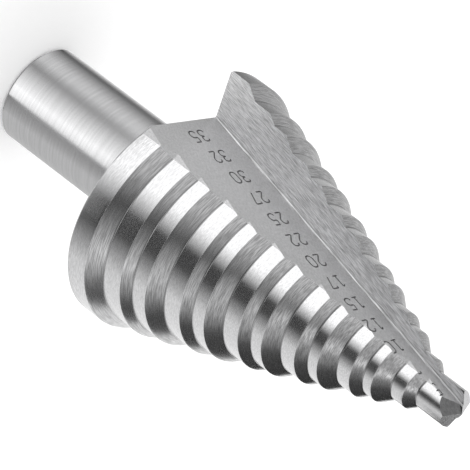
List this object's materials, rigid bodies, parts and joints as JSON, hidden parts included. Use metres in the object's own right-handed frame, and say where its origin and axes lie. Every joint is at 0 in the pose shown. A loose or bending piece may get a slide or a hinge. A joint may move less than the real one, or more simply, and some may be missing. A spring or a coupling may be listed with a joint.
{
  "type": "step drill",
  "caption": "Stepped conical drill with straight flutes, a split point and a round shank, for opening holes in sheet metal to graded sizes.",
  "frame": {"origin": "centre of the shank's end face", "axes": "+Z along the drill's axis from the shank to the point; the two rows of cutting edges lie over +X and -X, and the drill cuts when it turns clockwise seen from the shank end"},
  "size_m": [0.035, 0.0338, 0.0733],
  "materials": {
    "steel": "ground, bare"
  },
  "bodies": {
    "root": {"step_drill": "steel"}
  },
  "joints": []
}
